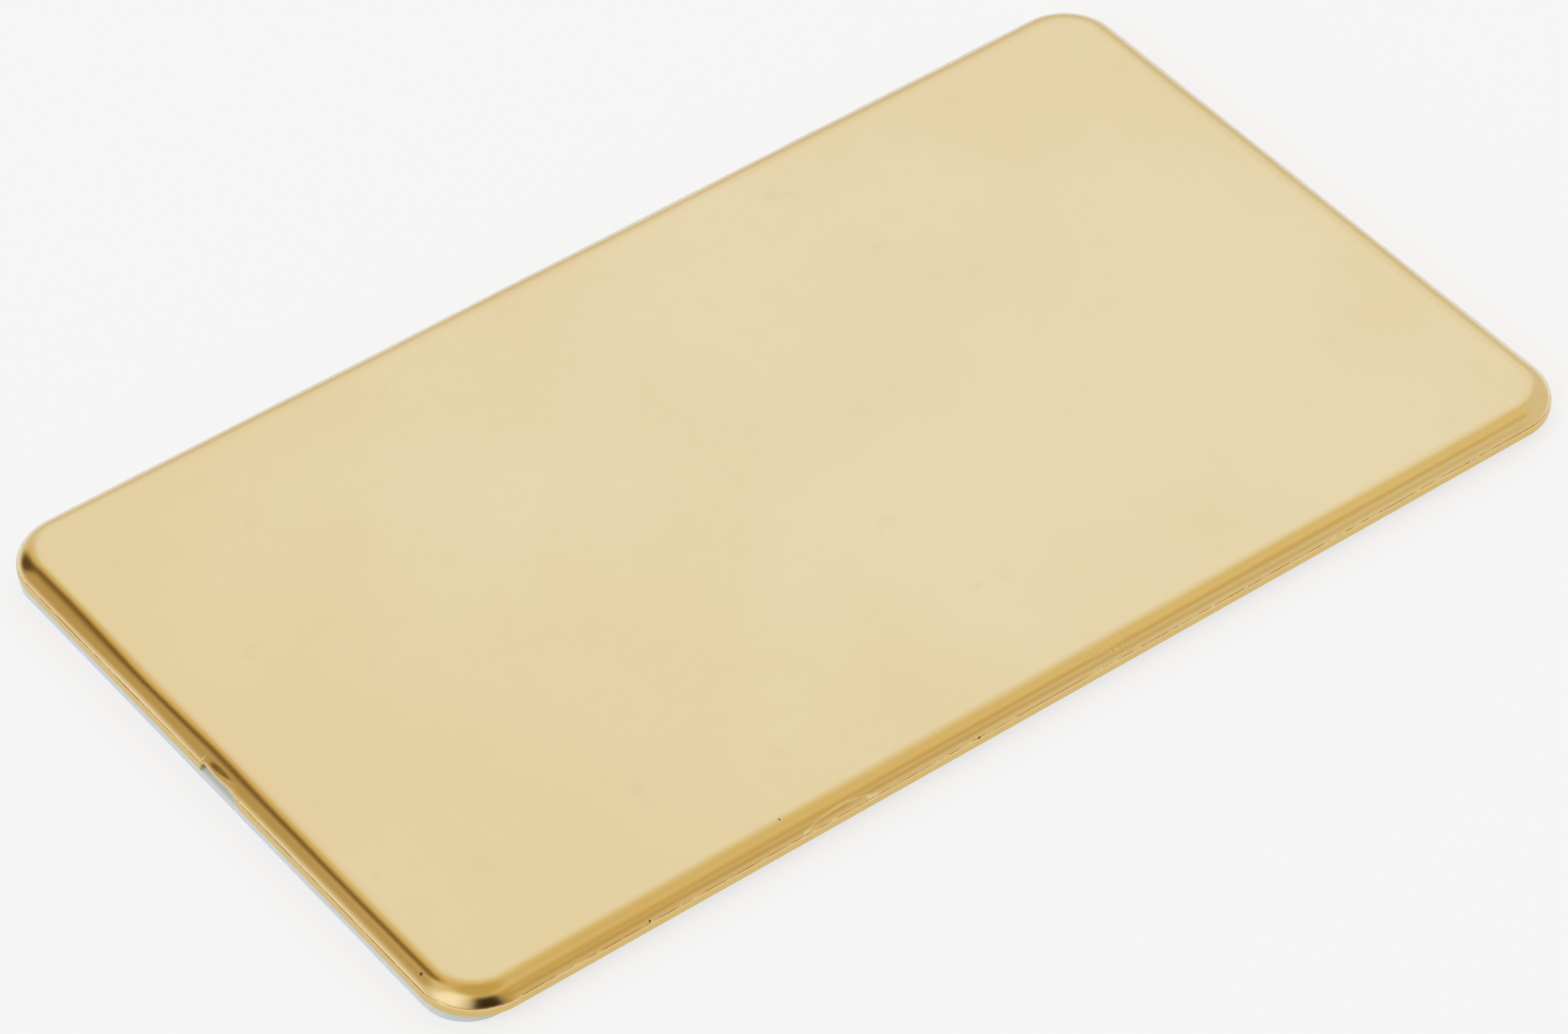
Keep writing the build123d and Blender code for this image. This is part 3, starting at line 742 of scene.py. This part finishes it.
def finished_copy(node, edge):
    """A CAD node's shape with clean faces and small rounded edges."""
    mesh = frame["nodes"][node].data.copy()
    mesh.name = node + "_finished"
    mesh.transform(frame["nodes"][node].matrix_world)
    shape = bmesh.new()
    shape.from_mesh(mesh)
    bmesh.ops.remove_doubles(shape, verts=shape.verts, dist=SAME_POINT)
    bmesh.ops.dissolve_limit(shape, angle_limit=SAME_PLANE, verts=shape.verts, edges=shape.edges)
    corners = [e for e in shape.edges if len(e.link_faces) == 2 and e.calc_face_angle() > ROUNDED_ABOVE]
    bmesh.ops.bevel(shape, geom=corners, offset=edge, segments=BEVEL_SEGMENTS, profile=0.5,
                    affect="EDGES", clamp_overlap=True)
    shape.to_mesh(mesh)
    shape.free()
    for polygon in mesh.polygons:
        polygon.use_smooth = True
    mesh.set_sharp_from_angle(angle=SHARP_ABOVE)
    piece = bpy.data.objects.new(mesh.name, mesh)
    bpy.context.collection.objects.link(piece)
    level = piece.modifiers.new("flat_faces_stay_flat", "WEIGHTED_NORMAL")
    level.keep_sharp = True
    level.weight = FLAT_FACE_WEIGHT
    place_piece(piece, body_of(node), SLOTS[node], node)


def finish_cad_pieces():
    """Rounds the edges of the hidden hardware and of the clear base."""
    for node in SLOTS:
        for start, edge in FINE_EDGES.items():
            if node.startswith(start):
                finished_copy(node, edge)


# ---------------------------------------------------------------- screws
SCREW_STEPS = 40
ROWS_A_TURN = 10
SLOT_DEPTH = 0.9 * MM
# How fast the thread's groove gets shallower from its middle, in depths a pitch.
GROOVE_SLOPE = 2.6
# Distance that keeps two rings apart where the radius steps.
HAIR = 0.001 * MM


def screw_rings(x, y, profile, pitch, depth):
    """Rings from (height, radius, thread share) rows. The thread is a V groove that climbs a pitch a turn."""
    rings = []
    for z, radius, share in profile:
        ring = []
        for step in range(SCREW_STEPS):
            angle = 2 * math.pi * step / SCREW_STEPS
            phase = (z / pitch - step / SCREW_STEPS) % 1
            groove = max(0.0, 1 - abs(phase - 0.5) * GROOVE_SLOPE)
            reach = radius - depth * groove * share
            ring.append((x + reach * math.cos(angle), y + reach * math.sin(angle), z))
        rings.append(ring)
    return rings


def cut_slot(piece, low, high):
    """Screwdriver slot across a screw's head, cut by the box from low to high."""
    corners = [(x, y, z) for z in (low[2], high[2]) for y in (low[1], high[1]) for x in (low[0], high[0])]
    faces = [(0, 2, 3, 1), (4, 5, 7, 6), (0, 1, 5, 4), (2, 6, 7, 3), (0, 4, 6, 2), (1, 3, 7, 5)]
    cutter_mesh = bpy.data.meshes.new("slot_cutter")
    cutter_mesh.from_pydata(corners, [], faces)
    cutter = bpy.data.objects.new("slot_cutter", cutter_mesh)
    bpy.context.collection.objects.link(cutter)
    cut = piece.modifiers.new("slot", "BOOLEAN")
    cut.operation = "DIFFERENCE"
    cut.solver = "EXACT"
    cut.object = cutter
    whole = piece.evaluated_get(bpy.context.evaluated_depsgraph_get())
    mesh = bpy.data.meshes.new_from_object(whole)
    piece.modifiers.clear()
    piece.data = mesh
    bpy.data.objects.remove(cutter)
    mesh.set_sharp_from_angle(angle=math.radians(SCREW_SHARP))


def build_fixing_screw(node):
    """Countersunk M3.5 screw with a waisted neck, a rolled thread and a slot."""
    low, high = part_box(node)
    x, y = (low[0] + high[0]) / 2, (low[1] + high[1]) / 2
    head = (high[0] - low[0]) / 2
    thread = 1.75 * MM
    neck = 1.4 * MM
    rim = 0.25 * MM
    soft = 0.06 * MM
    point = 0.5 * MM
    pitch = 0.6 * MM
    groove_depth = 0.3 * MM
    half_slot = 0.45 * MM
    retainer_gap = 0.05 * MM
    thread_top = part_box(node.replace("fixing_screw", "screw_retainer"))[0][2] - retainer_gap
    cone_foot = high[2] - rim - (head - neck)
    tip = low[2]
    rows = round((thread_top - tip) / pitch * ROWS_A_TURN)
    profile = []
    for row in range(rows + 1):
        z = tip + (thread_top - tip) * row / rows
        fade = min(1.0, (thread_top - z) / pitch)
        profile.append((z, thread - max(0.0, point - (z - tip)), fade))
    profile += [
        (thread_top + HAIR, thread - soft, 0),
        (thread_top + 2 * HAIR, neck, 0),
        (cone_foot, neck, 0),
        (high[2] - rim - soft, head - soft, 0),
        (high[2] - rim, head, 0),
        (high[2] - soft, head, 0),
        (high[2] - soft / 3, head - soft / 3, 0),
        (high[2], head - soft, 0),
    ]
    rings = screw_rings(x, y, profile, pitch, groove_depth)
    piece = rings_to_mesh(node + "_threaded", rings, SCREW_SHARP)
    cut_slot(piece, (x - 2 * head, y - half_slot, high[2] - SLOT_DEPTH),
             (x + 2 * head, y + half_slot, high[2] + MM))
    place_piece(piece, body_of(node), SLOTS[node], node)


def build_earth_screw():
    """Cheese head clamp screw, with its head underneath."""
    low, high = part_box("earth_screw")
    x, y = (low[0] + high[0]) / 2, (low[1] + high[1]) / 2
    head = (high[0] - low[0]) / 2
    head_height = 1.6 * MM
    thread = 1.45 * MM
    curve = 0.4 * MM
    soft = 0.05 * MM
    point = 0.3 * MM
    pitch = 0.5 * MM
    groove_depth = 0.22 * MM
    half_slot = 0.4 * MM
    shoulder = low[2] + head_height
    profile = [(low[2] + curve * (1 - math.cos(a)), head - curve * (1 - math.sin(a)), 0)
               for a in quarter_turn()]
    profile += [(shoulder - soft, head, 0), (shoulder, head - soft, 0), (shoulder + HAIR, thread, 0)]
    rows = round((high[2] - shoulder) / pitch * ROWS_A_TURN)
    for row in range(1, rows + 1):
        z = shoulder + (high[2] - shoulder) * row / rows
        fade = min(1.0, (z - shoulder) / pitch)
        profile.append((z, thread - max(0.0, point - (high[2] - z)), fade))
    rings = screw_rings(x, y, profile, pitch, groove_depth)
    piece = rings_to_mesh("earth_screw_threaded", rings, SCREW_SHARP)
    cut_slot(piece, (x - 2 * head, y - half_slot, low[2] - MM),
             (x + 2 * head, y + half_slot, low[2] + SLOT_DEPTH))
    place_piece(piece, body_of("earth_screw"), SLOTS["earth_screw"], "earth_screw")


# ---------------------------------------------------------------- world and floor
# The room's own colour, and the two that follow it upwards with the elevations where each comes in.
ROOM = (0.77, 0.745, 0.60)
UPPER_ROOM = (
    ((0.80, 0.71, 0.42), (47, 58)),
    ((0.60, 0.48, 0.19), (64, 77)),
)
# What stands in the room: colour, span of azimuth, span of elevation and softness of the edges.
# Angles are in degrees. A later row covers an earlier one.
SURROUNDINGS = {
    "left wall": ((0.53, 0.415, 0.185), (116, 146), (12, 46), 9),
    "amber band": ((0.60, 0.446, 0.15), (276, 304), (24, 62), 9),
    "low amber": ((0.60, 0.455, 0.165), (276, 292), (-10, 26), 6),
    "high amber": ((0.62, 0.46, 0.14), (300, 334), (50, 60), 8),
    "dark doorway": ((0.030, 0.016, 0.002), (226, 276), (-2, 64), 11),
    "side softbox": ((1.08, 1.14, 1.16), (164, 208), (6, 66), 12),
    "strip fringe": ((0.78, 0.60, 0.26), (86, 124), (20, 66), 7),
    "dark strip": ((0.19, 0.11, 0.030), (100, 121), (8, 62), 8),
    "strip foot": ((0.09, 0.055, 0.02), (98, 122), (16, 40), 6),
    "main softbox": ((0.91, 0.95, 0.95), (24, 79), (22, 58), 7),
    "softbox core": ((0.97, 1.08, 1.30), (43, 60), (39, 47), 5),
}
FLOOR_HALF = 3.0
FLOOR_COLOUR = (0.42, 0.445, 0.595)
FLOOR_GLOW = 0.635


def window(nodes, value, low, high, soft):
    """1 between two angles given in degrees and 0 outside them, with soft edges."""
    rise = nodes.ramp(value, math.radians(low - soft), math.radians(low + soft))
    fall = nodes.fall(value, math.radians(high - soft), math.radians(high + soft))
    return nodes.math("MULTIPLY", rise, fall)


def add_world():
    """Studio surroundings: a pale room with softboxes and darker stretches between them."""
    world = bpy.data.worlds.new("studio")
    world.use_nodes = True
    nodes = Nodes(world.node_tree)
    ray = nodes.add("ShaderNodeTexCoord").outputs["Generated"]
    parts = nodes.add("ShaderNodeSeparateXYZ", Vector=ray)
    turn = nodes.math("ARCTAN2", parts.outputs["Y"], parts.outputs["X"])
    azimuth = nodes.math("FLOORED_MODULO", turn, 2 * math.pi)
    elevation = nodes.math("ARCSINE", parts.outputs["Z"])
    colour = ROOM
    for tint, (low, high) in UPPER_ROOM:
        colour = nodes.mix(nodes.ramp(elevation, math.radians(low), math.radians(high)), colour, tint)
    for tint, around, height, soft in SURROUNDINGS.values():
        across = window(nodes, azimuth, *around, soft)
        upright = window(nodes, elevation, *height, soft)
        colour = nodes.mix(nodes.math("MULTIPLY", across, upright), colour, tint)
    background = nodes.add("ShaderNodeBackground", Color=colour, Strength=1.0)
    nodes.surface(background, "ShaderNodeOutputWorld")
    bpy.context.scene.world = world


def floor_material():
    """Pale, faintly glowing surface that can't be seen from underneath."""
    material = bpy.data.materials.new("pale_floor")
    material.use_nodes = True
    nodes = Nodes(material.node_tree)
    below = nodes.add("ShaderNodeNewGeometry").outputs["Backfacing"]
    shader = nodes.add("ShaderNodeBsdfPrincipled", Base_Color=FLOOR_COLOUR, Roughness=0.9,
                       Emission_Color=(1.0, 1.0, 1.0), Emission_Strength=FLOOR_GLOW)
    clear = nodes.add("ShaderNodeBsdfTransparent")
    either = nodes.add("ShaderNodeMixShader")
    for socket, value in zip(either.inputs, (below, shader.outputs[0], clear.outputs[0])):
        nodes.feed(socket, value)
    nodes.surface(either, "ShaderNodeOutputMaterial")
    return material


def add_floor():
    """Plain floor at the height of the wall plane."""
    corners = [(-FLOOR_HALF, -FLOOR_HALF, 0), (FLOOR_HALF, -FLOOR_HALF, 0),
               (FLOOR_HALF, FLOOR_HALF, 0), (-FLOOR_HALF, FLOOR_HALF, 0)]
    mesh = bpy.data.meshes.new("pale_floor")
    mesh.from_pydata(corners, [], [(0, 1, 2, 3)])
    mesh.materials.append(floor_material())
    floor = bpy.data.objects.new("pale_floor", mesh)
    bpy.context.collection.objects.link(floor)


def set_view_transform():
    view = bpy.context.scene.view_settings
    view.view_transform = "Standard"
    view.look = "None"
    view.exposure = 0.0
    view.gamma = 1.0


dress_cad_nodes()
build_front()
build_film()
finish_cad_pieces()
build_fixing_screw("fixing_screw_left")
build_fixing_screw("fixing_screw_right")
build_earth_screw()
add_world()
add_floor()
add_camera()
set_view_transform()
